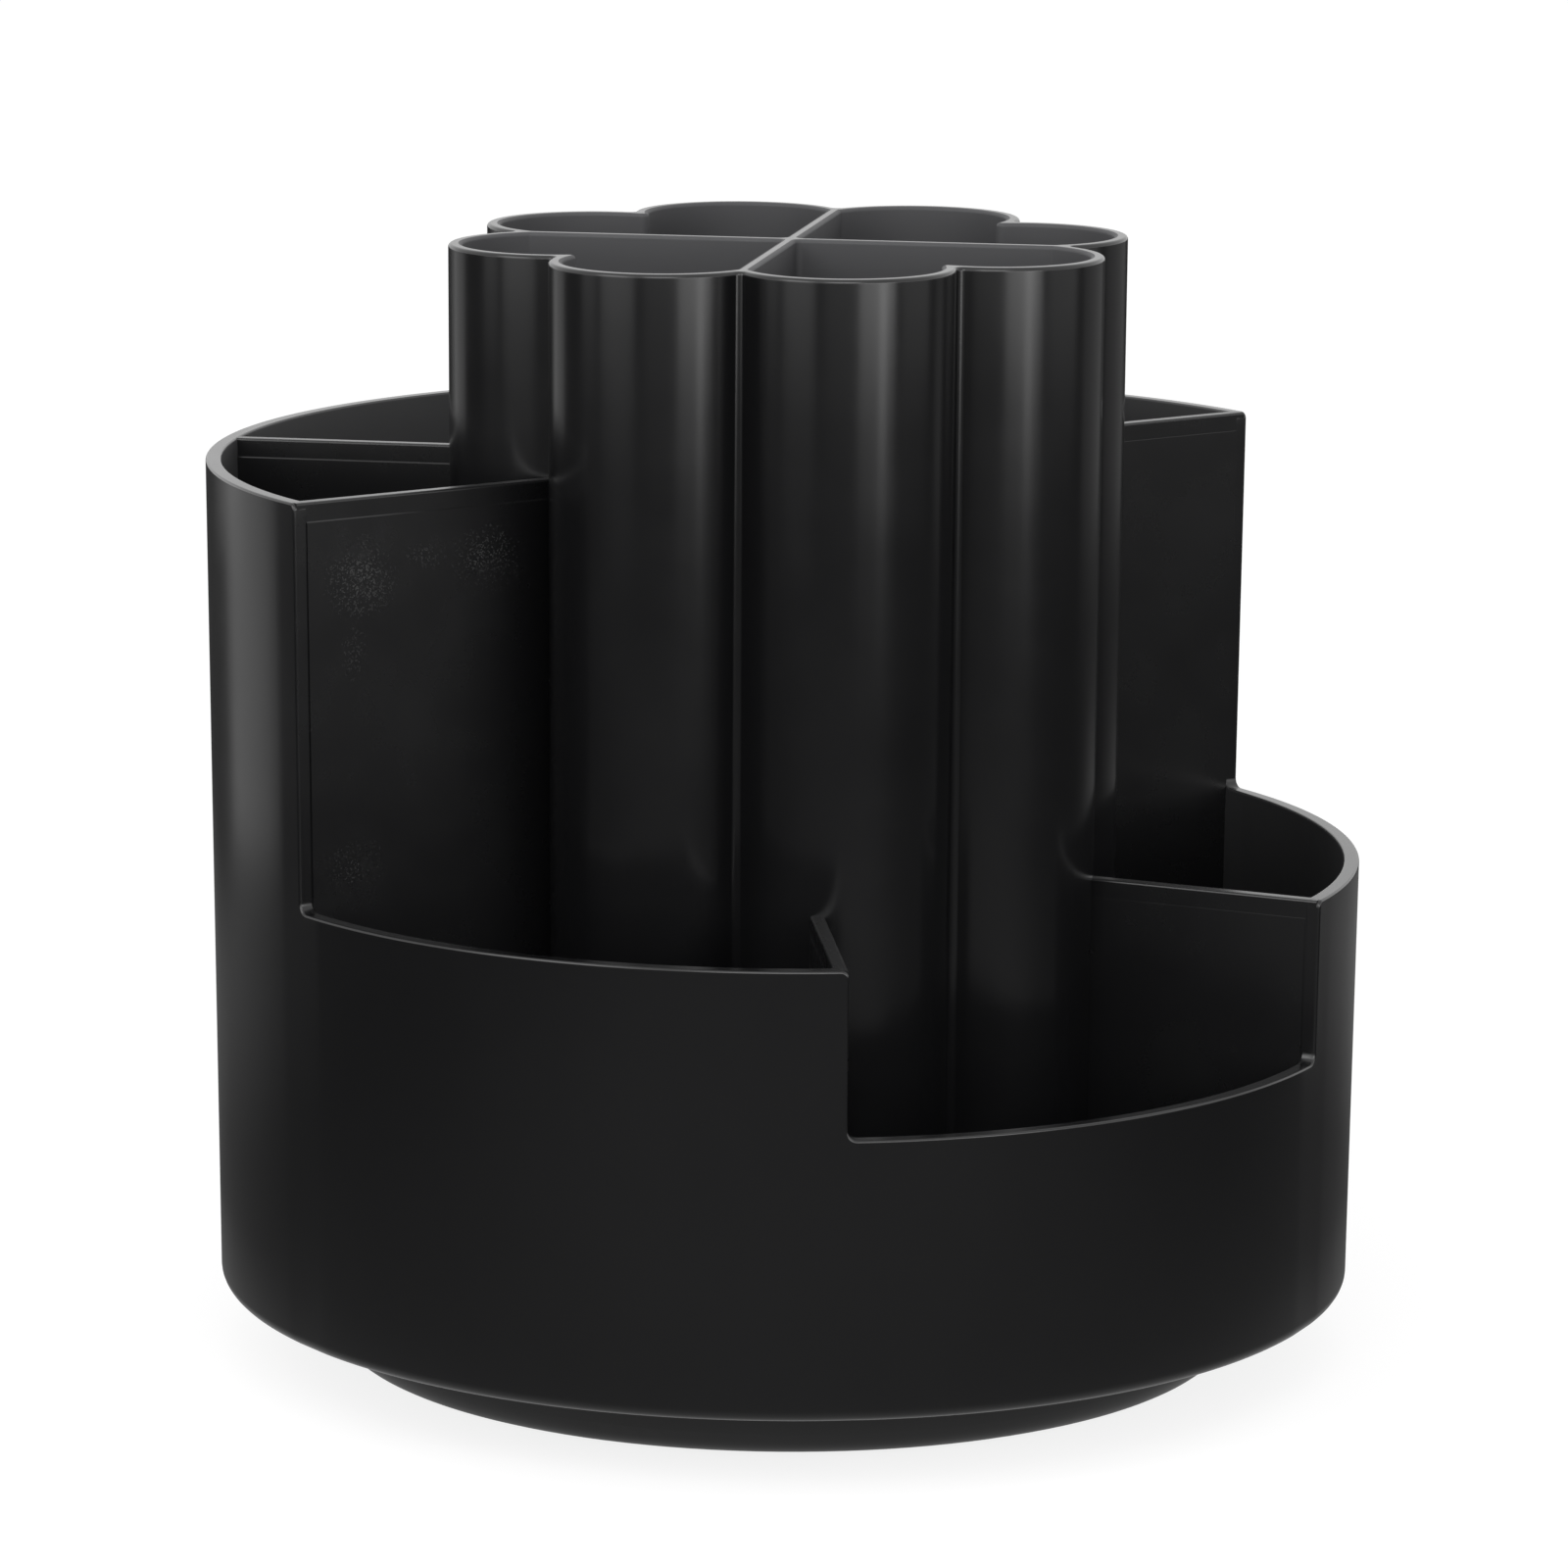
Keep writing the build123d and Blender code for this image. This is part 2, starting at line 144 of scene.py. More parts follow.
plasticLook = {
    "dark": "#0c0c0d", "light": "#0e0e0f", "flowSize": 35, "glossSize": 12, "glossy": 0.2, "dull": 0.23,
    "waveSize": 16, "waveDepth": 0.005, "grainSize": 0.35, "grainDepth": 0.0006, "ior": 1.54,
}
insideLook = {**plasticLook, "dark": "#1c1c1d", "light": "#1f1f20", "glossy": 0.5, "dull": 0.58, "grainDepth": 0.002}
# satin black styrene of the stepped bin and its tubes: soft-edged bright bands on near-black
binPlastic = mouldedPlastic("blackStyreneBin", plasticLook)
tubePlastic = mouldedPlastic("blackStyreneTubes", {**plasticLook, "waveSize": 22, "waveDepth": 0.004})
# dividers are a little less polished, so nothing mirrors in them; pale scuffs where things rub on the left one
dividerPlastic = mouldedPlastic("blackStyreneDividers", {
    **plasticLook, "glossy": 0.25, "dull": 0.29, "grainDepth": 0.0003, "dust": "#424242", "speckSize": 0.24, "scuffDepth": (-0.8, -1.5),
    "scuffs": [
        (-65.5, 107.5, 7.5, 7.5, 1.0), (-66.5, 98, 3.5, 7.0, 0.55), (-56, 109.5, 5.5, 3.5, 0.6), (-47, 108.6, 7.5, 6.0, 0.8),
        (-66.5, 71, 8.0, 7.0, 0.6),
    ],
})
# insides are off the unpolished half of the mould, so they read matt, and their colour is painted paler towards the
# rims as painted light, where more light falls in at the open tops
binInside = mouldedPlastic("blackStyreneBinInside", {**insideLook, "dark": "#161617", "light": "#19191a", "paintedRimLight": "#424243", "paintedRimLightRise": (38, 95)})
tubeInside = mouldedPlastic("blackStyreneTubesInside", {**insideLook, "glossy": 0.56, "dull": 0.64, "paintedRimLight": "#424244", "paintedRimLightRise": (110, 145)})
# base dish, a little duller from rubbing on the desk
basePlastic = mouldedPlastic("blackStyreneBase", {**plasticLook, "glossy": 0.34, "dull": 0.42})
# unseen turntable plate, plain off the mould
platePlastic = mouldedPlastic("blackStyrenePlate", {**plasticLook, "glossy": 0.42, "dull": 0.52, "grainDepth": 0.002})
# soft feet: dull dark grey, so that they part from the glossy dish
rubber = mouldedPlastic("footRubber", {
    **plasticLook, "dark": "#1c1c1c", "light": "#232322", "glossy": 0.75, "dull": 0.9, "grainSize": 0.2, "grainDepth": 0.004,
})
# natural nylon of the ball cage: warm off-white with a waxy sheen
nylon = mouldedPlastic("cageNylon", {**plasticLook, "dark": "#cfcabc", "light": "#d8d4c8", "glossy": 0.4, "dull": 0.5})
# zinc plate: bright bluish grey with a soft sparkle
zincSteel = steel("zincPlatedSteel", {"dark": "#8d8e90", "light": "#a3a4a5", "glossy": 0.28, "dull": 0.42, "toneSize": 3, "grainSize": 0.1, "grainDepth": 0.002})
# polished bearing balls: near mirrors
ballSteel = steel("polishedBallSteel", {"dark": "#9fa0a2", "light": "#b0b1b2", "glossy": 0.08, "dull": 0.16, "toneSize": 2, "grainSize": 0.1, "grainDepth": 0.0003})
print("materials made")


# Mesh helpers

def pieceFrom(name, bm, materials, body, node):
    bmesh.ops.remove_doubles(bm, verts=bm.verts, dist=0.002 * mm)
    bmesh.ops.recalc_face_normals(bm, faces=bm.faces)
    mesh = bpy.data.meshes.new(name)
    bm.to_mesh(mesh)
    bm.free()
    for polygon in mesh.polygons:
        polygon.use_smooth = True
    mesh.set_sharp_from_angle(angle=radians(38))
    for material in materials:
        mesh.materials.append(material)
    piece = bpy.data.objects.new(name, mesh)
    bpy.context.collection.objects.link(piece)
    weighted = piece.modifiers.new("flatWalls", "WEIGHTED_NORMAL")
    weighted.keep_sharp = True
    weighted.weight = 100
    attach(piece, body)
    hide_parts(node)
    return piece


def polar(radius, angle, height=0):
    return Vector((radius * cos(angle), radius * sin(angle), height))


def spinArc(bm, centre, radius, start, swing, height, steps):
    # a line of edges, spun from one point round a centre in the plan
    middle = Vector((centre[0], centre[1], height))
    point = bm.verts.new((middle + polar(radius, start)) * mm)
    bmesh.ops.spin(bm, geom=[point], cent=middle * mm, axis=(0, 0, 1), angle=swing, steps=steps)


def joined(bm, known):
    # weld the arcs drawn since the known points into one line
    fresh = [vert for vert in bm.verts if vert not in known]
    bmesh.ops.remove_doubles(bm, verts=fresh, dist=0.001 * mm)
    fresh = [vert for vert in fresh if vert.is_valid]
    return fresh, list({edge for vert in fresh for edge in vert.link_edges})


def bridged(bm, lines, index=0):
    for low, high in zip(lines, lines[1:]):
        for face in bmesh.ops.bridge_loops(bm, edges=low + high)["faces"]:
            face.material_index = index


def extruded(bm, outline, travel):
    # solid from a flat face of a few points, drawn along a direction
    face = bm.faces.new([bm.verts.new(Vector(point) * mm) for point in outline])
    made = bmesh.ops.extrude_face_region(bm, geom=[face], use_keep_orig=True)["geom"]
    moved = [part for part in made if isinstance(part, bmesh.types.BMVert)]
    bmesh.ops.translate(bm, verts=moved, vec=Vector(travel) * mm)
    return list(face.verts) + moved


# Pen tubes: eight scalloped lobes round a cross

tubes = {
    "top": 145.5, "seat": 16.0, "floor": 17.6, "ring": 30.3, "lobe": 14.0, "wall": 1.8, "draft": 0.2,
    "cusp": 0.8, "corner": 0.9, "cross": 1.8, "rimRound": 0.5, "floorRound": 1.0, "lobeSteps": 44, "bendSteps": 8,
    "boss": 3.2, "bossTop": 30.0, "bossRing": 31.39, "bossRound": 0.3,
}


def outlineLine(bm, grow, height):
    # one quarter of the outside: half a cusp, a lobe, a cusp, a lobe and half a cusp
    ring, lobe, cusp = tubes["ring"], tubes["lobe"] + grow, tubes["cusp"] - grow
    along, across = ring * cos(pi / 8), ring * sin(pi / 8)
    reach = sqrt((tubes["lobe"] + tubes["cusp"]) ** 2 - across ** 2)
    lean = atan2(across, reach)
    known, half = set(bm.verts), tubes["bendSteps"] // 2
    for middle in (-pi / 8, pi / 8):
        swing = lean + pi / 8
        spinArc(bm, polar(ring, middle), lobe, middle - swing, 2 * swing, height, tubes["lobeSteps"])
    for valley, turn in ((-pi / 4, -1), (0, 1), (0, -1), (pi / 4, 1)):
        bend = polar(along + reach, valley)
        spinArc(bm, bend, cusp, valley + pi, turn * lean, height, half)
    return joined(bm, known)[1]


def boreLine(bm, grow, height):
    # one heart-shaped bore round +X, between cross walls at 45 degrees each side
    bore, corner, half = tubes["lobe"] - tubes["wall"], tubes["corner"], tubes["cross"] / 2
    along, across = tubes["ring"] * cos(pi / 8), tubes["ring"] * sin(pi / 8)
    steps, bends = tubes["lobeSteps"], tubes["bendSteps"]
    known = set(bm.verts)
    # rounded point between the two lobes
    reach = sqrt((bore + corner) ** 2 - across ** 2)
    lean = atan2(across, reach)
    spinArc(bm, (along + reach, 0), corner - grow, pi + lean, -2 * lean, height, bends)
    # where a lobe turns into the cross wall, measured along and off that wall
    out = sqrt((bore - corner) ** 2 - (across - half - corner) ** 2)
    contact = pi / 4 + atan2(across - half - corner, out)
    bend = polar(along + out, pi / 4) + polar(half + corner, -pi / 4)
    for side in (1, -1):
        lobeCentre, bendCentre = (along, side * across), (bend.x, side * bend.y)
        spinArc(bm, lobeCentre, bore + grow, -side * lean, side * (lean + contact), height, steps)
        spinArc(bm, bendCentre, corner + grow, side * contact, side * (3 * pi / 4 - contact), height, bends)
    # inner corner of the cross
    spinArc(bm, ((half + corner) * sqrt(2), 0), corner + grow, 3 * pi / 4, pi / 2, height, bends)
    line, edges = joined(bm, known)
    # straight runs along the cross walls
    ends = [vert for vert in line if len(vert.link_edges) == 1]
    for side in (1, -1):
        edges.append(bm.edges.new([vert for vert in ends if vert.co.y * side > 0]))
    return edges


def penTubes():
    top, rim, slope, bends = tubes["top"], tubes["rimRound"], tan(radians(tubes["draft"])), tubes["bendSteps"]
    bm = bmesh.new()
    quarterTurn = [radians(90 * i / bends) for i in range(bends + 1)]
    # heights with how far the plastic is pulled back from the drafted wall
    rimLevels = [(top - rim + rim * sin(angle), rim * (1 - cos(angle))) for angle in quarterTurn]
    outside = [outlineLine(bm, -(top - tubes["seat"]) * slope, tubes["seat"])]
    outside += [outlineLine(bm, -(top - height) * slope - back, height) for height, back in rimLevels]
    bridged(bm, outside)
    inside = [boreLine(bm, back - (top - height) * slope, height) for height, back in reversed(rimLevels)]
    for angle in quarterTurn:
        height = tubes["floor"] + tubes["floorRound"] * (1 - sin(angle))
        # the last bend stays inside the small corner radius
        pull = min(tubes["floorRound"] * (1 - cos(angle)), tubes["corner"] * 0.35)
        inside.append(boreLine(bm, -(top - height) * slope - pull, height))
    bridged(bm, inside, 1)
    bmesh.ops.contextual_create(bm, geom=inside[-1], mat_nr=1)
    # rim and underside, closed to the middle of the cross
    for line, height, hole in ((outside[-1], top, inside[0]), (outside[0], tubes["seat"], [])):
        middle = bm.verts.new((0, 0, height * mm))
        ends = [vert for vert in {v for edge in line for v in edge.verts} if sum(edge in line for edge in vert.link_edges) == 1]
        spokes = [bm.edges.new((middle, end)) for end in ends]
        bmesh.ops.triangle_fill(bm, edges=line + spokes + hole, normal=(0, 0, 1), use_beauty=True)
    bmesh.ops.spin(bm, geom=bm.verts[:] + bm.edges[:] + bm.faces[:], cent=(0, 0, 0), axis=(0, 0, 1), angle=3 * pi / 2, steps=3, use_duplicate=True)
    bossHeight = tubes["bossTop"] - tubes["seat"]
    for i in range(4):
        place = Matrix.Translation(polar(tubes["bossRing"], pi / 4 + i * pi / 2, tubes["seat"] + bossHeight / 2) * mm)
        made = bmesh.ops.create_cone(bm, cap_ends=True, segments=32, radius1=tubes["boss"] * mm, radius2=tubes["boss"] * mm, depth=bossHeight * mm, matrix=place)
        upper = [edge for vert in made["verts"] for edge in vert.link_edges if all(v.co.z > (tubes["bossTop"] - 0.1) * mm for v in edge.verts)]
        bmesh.ops.bevel(bm, geom=list(set(upper)), offset=tubes["bossRound"] * mm, segments=3, profile=0.5, affect="EDGES", material=-1)
    return pieceFrom("penTubes", bm, (tubePlastic, tubeInside), "carousel", "pen_tube_cluster")


penTubes()
print("pen tubes made")


# Stepped bin: wall with three rim heights, six dividers, floor and skirt

stepped = {
    "rim": 75.0, "tall": 117.5, "side": 66.0, "front": 45.0, "wall": 2.0, "draft": 0.6, "skirt": 9.5, "skirtRound": 1.8,
    "floorLow": 14.0, "floorTop": 16.0, "floorRound": 0.8, "rimRound": 0.32, "notch": 1.3, "corner": 0.9,
    "plate": 1.8, "root": 2.6, "land": 2.4, "endCover": 0.5, "spacing": 1.6, "clear": 1.9, "support": 2.0, "bendSteps": 7,
    "tallSeat": 35.9, "lowSeat": 42.7,
    "ribs": 24, "ribWall": 1.4, "ribHeight": 2.5, "ribInner": 61.9,
    # each divider's turn, rim, inner end and how far its panel stands out under the thin band along the edge
    "dividers": [
        (0, "tall", "tallSeat", 0.04), (45, "tall", "tallSeat", 0.04), (135, "tall", "tallSeat", 0.15),
        (180, "tall", "tallSeat", 0.15), (-60, "side", "lowSeat", 0.04), (-120, "side", "lowSeat", 0.04),
    ],
}


def wallRadius(height):
    return stepped["rim"] - (stepped["tall"] - height) * tan(radians(stepped["draft"]))


def steppedWall(bm):
    # half of the wall as a flat sheet, along the rim and up, from the front's middle to the back's
    half, quarter = stepped["plate"] / 2, stepped["rim"] * pi / 2
    first, second = -stepped["rim"] * pi / 3 - half, -half
    corners = [
        (-quarter, stepped["skirt"]), (quarter, stepped["skirt"]), (quarter, stepped["tall"]), (second, stepped["tall"]),
        (second, stepped["side"]), (first, stepped["side"]), (first, stepped["front"]), (-quarter, stepped["front"]),
    ]
    verts = [bm.verts.new((along * mm, 0, height * mm)) for along, height in corners]
    bm.faces.new(verts)
    for i, rounding in ((3, "corner"), (4, "notch"), (5, "corner"), (6, "notch")):
        bmesh.ops.bevel(bm, geom=[verts[i]], offset=stepped[rounding] * mm, offset_type="OFFSET", segments=stepped["bendSteps"], profile=0.5, affect="VERTICES", material=-1)
    # columns narrow enough to bend smoothly, and none within the steps' own roundings
    count = round(2 * quarter / stepped["spacing"])
    for i in range(1, count):
        along = -quarter + 2 * quarter * i / count
        if min(abs(along - first), abs(along - second)) > stepped["clear"]:
            bmesh.ops.bisect_plane(bm, geom=bm.verts[:] + bm.edges[:] + bm.faces[:], dist=0.02 * mm, plane_co=(along * mm, 0, 0), plane_no=(1, 0, 0))
    # a cut under each rim and over the foot keeps their rounding out of the walls' shading
    for height in (stepped["front"], stepped["side"], stepped["tall"], stepped["skirt"] + 3 * stepped["support"]):
        cut = Vector((0, 0, (height - stepped["support"]) * mm))
        bmesh.ops.bisect_plane(bm, geom=bm.verts[:] + bm.edges[:] + bm.faces[:], dist=0.02 * mm, plane_co=cut, plane_no=(0, 0, 1))
    # wrapped on the drafted cone, then mirrored to the other half
    for vert in bm.verts:
        height = vert.co.z / mm
        vert.co = polar(wallRadius(height), vert.co.x / mm / stepped["rim"], height) * mm
    bmesh.ops.mirror(bm, geom=bm.verts[:] + bm.edges[:] + bm.faces[:], axis="X", merge_dist=0.002 * mm)
    bmesh.ops.recalc_face_normals(bm, faces=bm.faces)
    outer = bm.faces[:]
    if sum(face.normal.dot(face.calc_center_median()) for face in outer) < 0:
        bmesh.ops.reverse_faces(bm, faces=outer)
    bmesh.ops.solidify(bm, geom=outer, thickness=stepped["wall"] * mm)
    # the inside is matt, and the ends at the steps match the dividers that close them
    for face in bm.faces:
        facing = face.normal.dot(face.calc_center_median().normalized())
        if facing < -0.3:
            face.material_index = 1
        elif abs(facing) < 0.1:
            face.material_index = 2
    # every edge of the rim is rounded, and the foot of the skirt on its outside
    rim, foot = [], []
    for edge in bm.edges:
        faces = edge.link_faces
        if len(faces) == 2 and edge.calc_face_angle(0) > radians(60):
            low = max(vert.co.z for vert in edge.verts) < (stepped["skirt"] + 0.5) * mm
            outside = max(vert.co.xy.length for vert in edge.verts) > (wallRadius(stepped["skirt"]) - 0.5) * mm
            if not low:
                rim.append(edge)
            elif outside:
                foot.append(edge)
    bmesh.ops.bevel(bm, geom=rim, offset=stepped["rimRound"] * mm, offset_type="OFFSET", segments=stepped["bendSteps"], profile=0.5, affect="EDGES", clamp_overlap=False, material=-1)
    foot = [edge for edge in foot if edge.is_valid]
    bmesh.ops.bevel(bm, geom=foot, offset=stepped["skirtRound"] * mm, offset_type="OFFSET", segments=stepped["bendSteps"], profile=0.5, affect="EDGES", material=-1)


def binFloor(bm):
    # floor with its fillet up to the wall, spun round the axis
    low, top, bend = stepped["floorLow"], stepped["floorTop"], stepped["floorRound"]
    inner = wallRadius(top + bend) - stepped["wall"]
    profile = [(0, low), (inner + stepped["wall"] / 2, low), (inner + stepped["wall"] / 2, top + bend)]
    for i in range(stepped["bendSteps"] + 1):
        angle = radians(90 * i / stepped["bendSteps"])
        profile.append((inner - bend * (1 - cos(angle)), top + bend * (1 - sin(angle))))
    profile.append((0, top))
    line = [bm.verts.new(Vector((radius, 0, height)) * mm) for radius, height in profile]
    edges = [bm.edges.new(pair) for pair in zip(line, line[1:])]
    known = set(bm.faces)
    bmesh.ops.spin(bm, geom=line + edges, cent=(0, 0, 0), axis=(0, 0, 1), angle=2 * pi, steps=180, use_merge=True)
    for face in set(bm.faces) - known:
        face.material_index = 1


def dividerPlate(bm, turn, top, inner, ledge):
    # thin band along the edge, and below it the thicker panel that tapers up from the floor
    half, root, land, floor = stepped["plate"] / 2, stepped["root"] / 2, top - stepped["land"], stepped["floorTop"]
    rim, steps = stepped["rimRound"], stepped["bendSteps"]
    edge = [(half, floor - 0.6)]
    edge += [(half - rim * (1 - cos(radians(a))), top - rim * (1 - sin(radians(a)))) for a in [90 * i / steps for i in range(steps + 1)]]
    panel = [(root + 1.0, floor - 0.6), (root + 0.8, floor), (root + 0.24, floor + 0.24), (root, floor + 0.8)]
    panel += [(half + ledge, land - ledge), (half, land)]
    # the band runs on into the wall's end, and the panel stops at the wall's inner face
    for side, depth in ((edge, stepped["endCover"]), (panel, stepped["wall"] - ledge)):
        section = side + [(-across, height) for across, height in reversed(side)]
        verts = extruded(bm, [(inner, across, height) for across, height in section], (stepped["rim"] - inner, 0, 0))
        for vert in verts:
            if vert.co.x > (stepped["rim"] - 1) * mm:
                vert.co.x = (wallRadius(vert.co.z / mm) - depth) * mm
        for face in {face for vert in verts for face in vert.link_faces}:
            face.material_index = 2
        bmesh.ops.rotate(bm, verts=verts, cent=(0, 0, 0), matrix=Matrix.Rotation(radians(turn), 3, "Z"))


def steppedBin():
    bm = bmesh.new()
    steppedWall(bm)
    binFloor(bm)
    for turn, rim, seat, ledge in stepped["dividers"]:
        dividerPlate(bm, turn, stepped[rim], stepped[seat], ledge)
    # short ribs in the corner under the floor
    low, high = stepped["floorLow"] - stepped["ribHeight"], stepped["floorLow"] + 1
    outer = wallRadius(low) - stepped["wall"] / 2
    size = Matrix.Diagonal((*(Vector((outer - stepped["ribInner"], stepped["ribWall"], high - low)) * mm), 1))
    middle = Matrix.Translation(Vector(((outer + stepped["ribInner"]) / 2, 0, (low + high) / 2)) * mm)
    for i in range(stepped["ribs"]):
        bmesh.ops.create_cube(bm, size=1, matrix=Matrix.Rotation(2 * pi * i / stepped["ribs"], 4, "Z") @ middle @ size)
    return pieceFrom("steppedBin", bm, (binPlastic, binInside, dividerPlastic), "carousel", "outer_bin")


steppedBin()
print("stepped bin made")


# The other CAD parts keep their shape and get their finish

finishes = {
    "turntable_top_plate": platePlastic, "tube_screws": zincSteel, "pivot_screw": zincSteel, "pivot_washer": zincSteel,
    "ball_cage": nylon, "bearing_balls": ballSteel, "base_dish": basePlastic, "pivot_plug": basePlastic,
    "rubber_foot_rear_right": rubber, "rubber_foot_rear_left": rubber, "rubber_foot_front_left": rubber,
    "rubber_foot_front_right": rubber,
}
for name, material in finishes.items():
    node = nodes[name]
    node.data.materials.clear()
    node.data.materials.append(material)
print("CAD parts finished")


# Camera, from the photograph's vanishing lines and rims

shot = {"turn": -35.2, "back": 873.0, "up": 246.68, "tilt": 0.19503, "pan": -0.00042, "roll": -0.00693, "focal": 6975.35}
aim = Matrix.Rotation(radians(shot["turn"]), 4, "Z")


def photoPlace(x, y, z):
    # x to the photograph's right, y away from the camera, in millimetres
    return aim @ (Vector((x, y, z)) * mm)


def makeCamera():
    ct, st, cp, sp = cos(shot["tilt"]), sin(shot["tilt"]), cos(shot["pan"]), sin(shot["pan"])
    forward = Vector((sp * ct, cp * ct, -st))
    right = Vector((cp, -sp, 0))
    down = forward.cross(right)
    cr, sr = cos(shot["roll"]), sin(shot["roll"])
    rolledRight, rolledDown = right * cr + down * sr, down * cr - right * sr
    facing = Matrix((rolledRight, -rolledDown, -forward)).transposed().to_4x4()
    data = bpy.data.cameras.new("photoCamera")
    data.sensor_width = 36
    data.lens = 36 * shot["focal"] / 1600
    data.clip_start, data.clip_end = 0.05, 50
    camera = bpy.data.objects.new("photoCamera", data)
    bpy.context.collection.objects.link(camera)
    camera.matrix_world = Matrix.Translation(photoPlace(0, -shot["back"], shot["up"])) @ aim @ facing
    bpy.context.scene.camera = camera


makeCamera()


# Plain pale floor and soft studio light

stage = {
    "floorSeen": "#7c7c7c", "floorColour": "#3f3f3f", "cameraLift": 0.84, "worldFill": 0.85,
    "glows": [
        (0, 0, 70, 90, 0.28), (0, 0, 90, 120, 0.08), (0, 0, 110, 200, 0.03), (0, 0, 200, 450, 0.02), (0, -260, 130, 300, 0.13),
        (-245, 145, 40, 130, 0.1), (245, 235, 60, 180, 0.12), (0, 250, 80, 200, 0.14),
    ],
}
# turn is seen from above, from the camera towards its right, in degrees; places in mm, sizes in m, power in W
lamps = [
    {"name": "frontBox", "turn": 0, "away": 500, "up": 420, "wide": 0.3, "tall": 0.3, "power": 0.78},
    {"name": "frontLeftBox", "turn": -50, "away": 500, "up": 420, "wide": 0.3, "tall": 0.3, "power": 0.73},
    {"name": "rightStrip", "turn": 32, "away": 320, "up": 143, "wide": 0.2, "tall": 0.09, "power": 0.16},
    {"name": "rightCore", "turn": 37, "away": 320, "up": 120, "wide": 0.04, "tall": 0.08, "power": 0.018},
    {"name": "rightCard", "turn": 73, "away": 320, "up": 140, "wide": 0.2, "tall": 0.09, "power": 0.035},
    {"name": "centreCard", "turn": 0, "away": 320, "up": 145, "wide": 0.2, "tall": 0.08, "power": 0.03},
    {"name": "leftCard", "turn": -42, "away": 320, "up": 145, "wide": 0.19, "tall": 0.08, "power": 0.072},
    {"name": "farLeftCard", "turn": -72, "away": 320, "up": 145, "wide": 0.09, "tall": 0.08, "power": 0.019},
    {"name": "leftStrip", "turn": -120, "away": 320, "up": 84, "wide": 0.13, "tall": 0.15, "power": 0.028},
    {"name": "rearLeftCard", "turn": -135, "away": 420, "up": 150, "wide": 0.12, "tall": 0.22, "power": 0.014},
    {"name": "rearRightCard", "turn": 125, "away": 420, "up": 150, "wide": 0.35, "tall": 0.22, "power": 0.043},
]


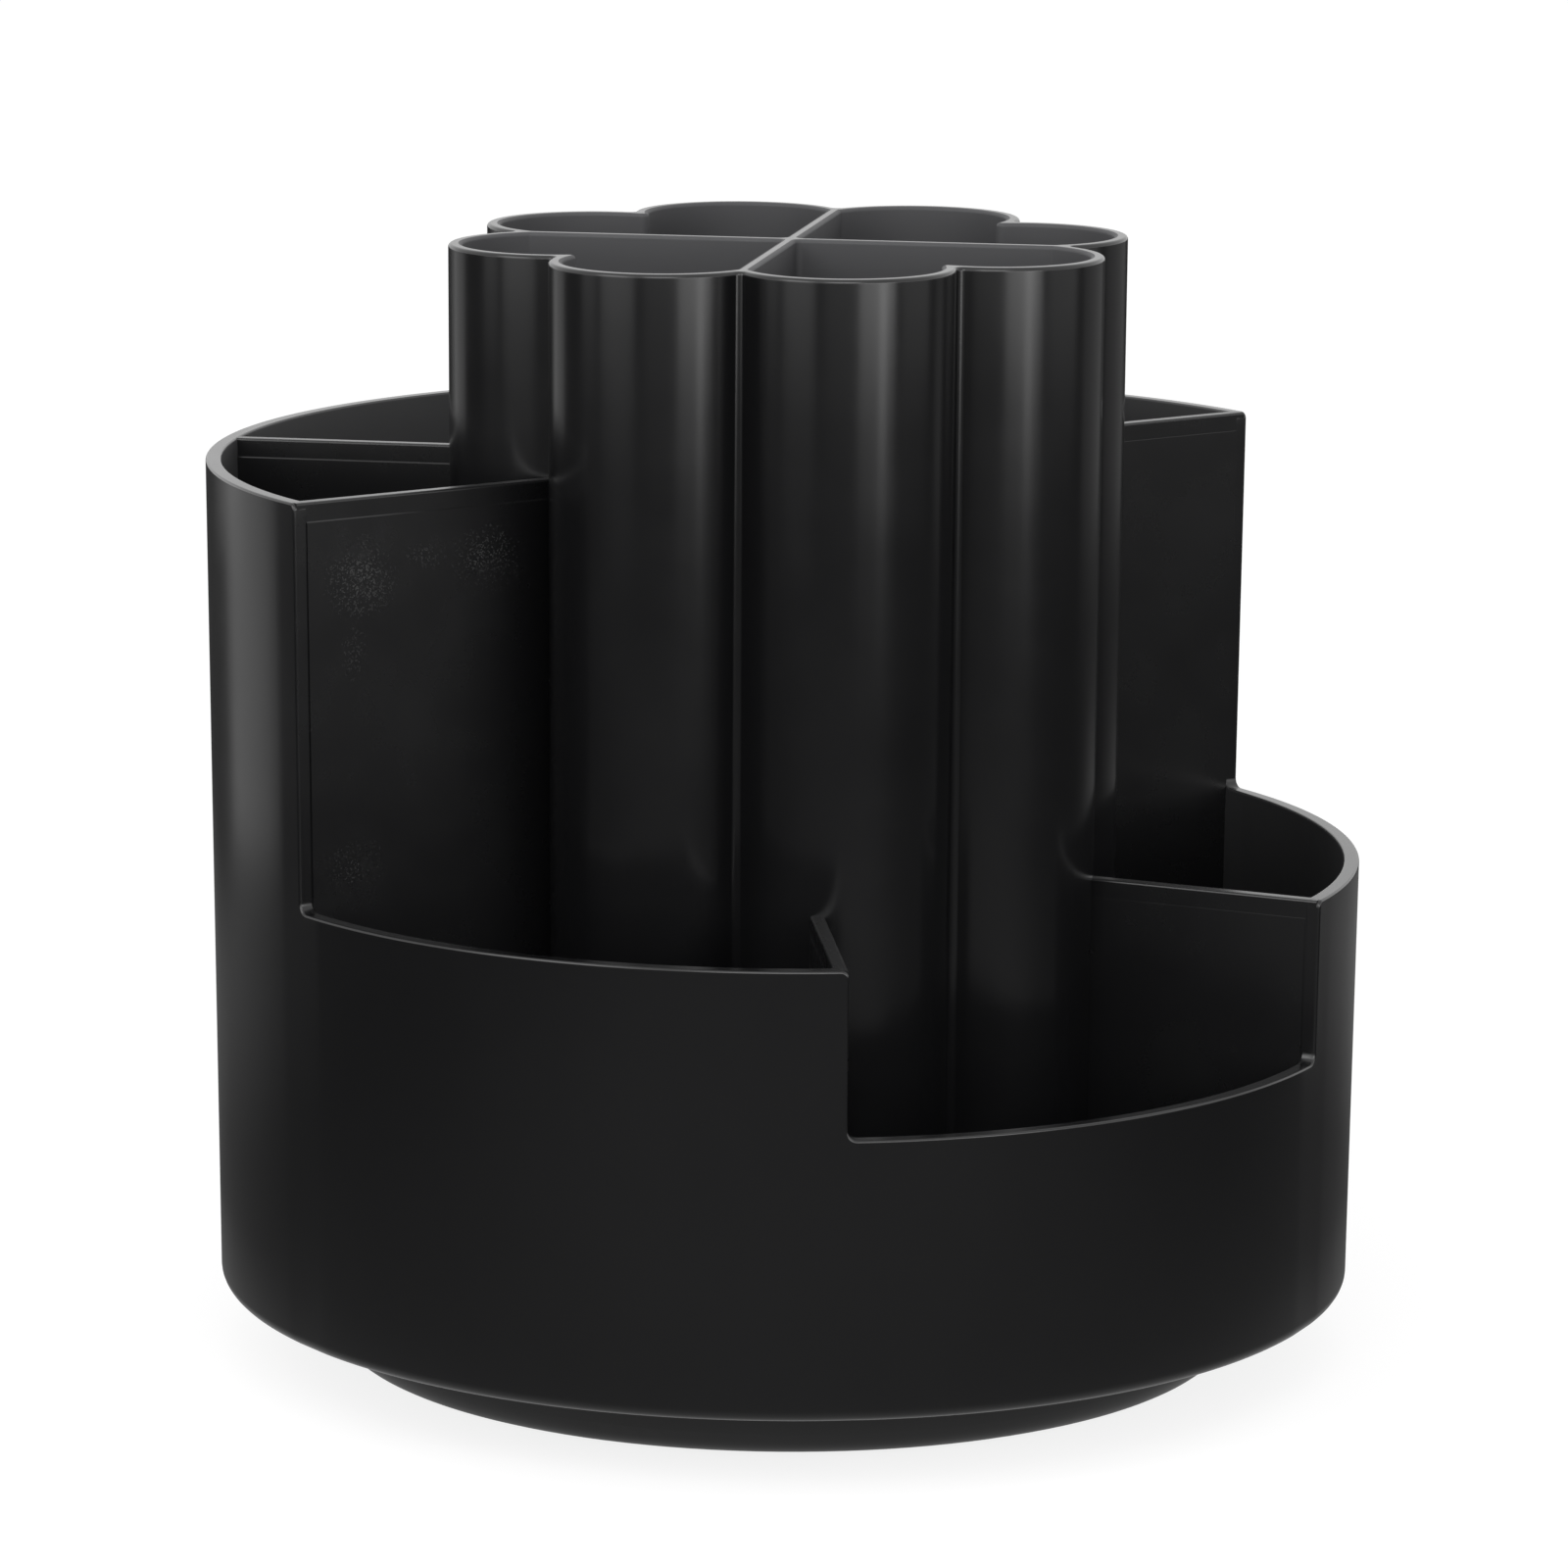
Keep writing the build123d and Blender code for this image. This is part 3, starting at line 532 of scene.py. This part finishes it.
def makeFloor():
    bm = bmesh.new()
    bmesh.ops.create_circle(bm, cap_ends=True, segments=96, radius=6.0)
    mesh = bpy.data.meshes.new("floor")
    bm.to_mesh(mesh)
    bm.free()
    floor = bpy.data.objects.new("floor", mesh)
    floor.location.z = -0.05 * mm
    bpy.context.collection.objects.link(floor)
    # matt table: white to the camera with the shadow left in it, dim in the walls' reflections
    material = bpy.data.materials.new("mattTable")
    material.use_nodes = True
    tree = material.node_tree
    shader = tree.nodes["Principled BSDF"]
    shader.inputs["Roughness"].default_value = 0.95
    shader.inputs["Specular IOR Level"].default_value = 0.0
    shader.inputs["Emission Color"].default_value = (1, 1, 1, 1)
    path = addNode(tree, "ShaderNodeLightPath")
    tints = {"data_type": "RGBA", "A": linear(stage["floorColour"]), "B": linear(stage["floorSeen"])}
    colour = addNode(tree, "ShaderNodeMix", tints, {"Factor": path.outputs["Is Camera Ray"]})
    tree.links.new(colour.outputs["Result"], shader.inputs["Base Color"])
    place = addNode(tree, "ShaderNodeTexCoord").outputs["Object"]
    # in the walls' gloss the table glows a little close round the base, which lights the wall's foot,
    # and in paler patches in front, behind and at both sides behind
    glow = None
    for right, away, near, far, strength in stage["glows"]:
        middle = {"operation": "DISTANCE", 1: photoPlace(right, away, 0)}
        distance = addNode(tree, "ShaderNodeVectorMath", middle, {0: place}).outputs["Value"]
        settings = {"From Min": near * mm, "From Max": far * mm, "To Min": strength, "To Max": 0.0}
        ring = addNode(tree, "ShaderNodeMapRange", settings, {"Value": distance}).outputs["Result"]
        glow = addNode(tree, "ShaderNodeMath", {"operation": "ADD"}, {0: glow, 1: ring}).outputs["Value"] if glow else ring
    glossy = addNode(tree, "ShaderNodeMath", {"operation": "MULTIPLY"}, {0: path.outputs["Is Glossy Ray"], 1: glow})
    lift = {"operation": "MULTIPLY_ADD", 1: stage["cameraLift"]}
    lifted = addNode(tree, "ShaderNodeMath", lift, {0: path.outputs["Is Camera Ray"], 2: glossy.outputs["Value"]})
    tree.links.new(lifted.outputs["Value"], shader.inputs["Emission Strength"])
    floor.data.materials.append(material)


def makeWorld():
    world = bpy.data.worlds.new("studio")
    bpy.context.scene.world = world
    world.use_nodes = True
    tree = world.node_tree
    path = addNode(tree, "ShaderNodeLightPath")
    # white to the eye, in gloss and through clear things; a dimmer fill on matt surfaces
    seen = addNode(tree, "ShaderNodeMath", {"operation": "ADD"}, {0: path.outputs["Is Camera Ray"], 1: path.outputs["Is Glossy Ray"]})
    seen = addNode(tree, "ShaderNodeMath", {"operation": "ADD"}, {0: seen.outputs["Value"], 1: path.outputs["Is Transmission Ray"]})
    strength = addNode(tree, "ShaderNodeMapRange", {"To Min": stage["worldFill"], "To Max": 1.0}, {"Value": seen.outputs["Value"]})
    background = tree.nodes["Background"]
    background.inputs["Color"].default_value = (1, 1, 1, 1)
    tree.links.new(strength.outputs["Result"], background.inputs["Strength"])


def addLamp(lamp):
    data = bpy.data.lights.new(lamp["name"], "AREA")
    data.shape = "RECTANGLE"
    data.size, data.size_y, data.energy = lamp["wide"], lamp["tall"], lamp["power"]
    box = bpy.data.objects.new(lamp["name"], data)
    box.visible_camera = False
    bpy.context.collection.objects.link(box)
    turn = radians(lamp["turn"])
    box.location = photoPlace(lamp["away"] * sin(turn), -lamp["away"] * cos(turn), lamp["up"])
    box.rotation_euler = (photoPlace(0, 0, 80) - box.location).to_track_quat("-Z", "Y").to_euler()


makeFloor()
makeWorld()
for lamp in lamps:
    addLamp(lamp)
bpy.context.scene.view_settings.view_transform = "Standard"
print("stage, light and camera made")
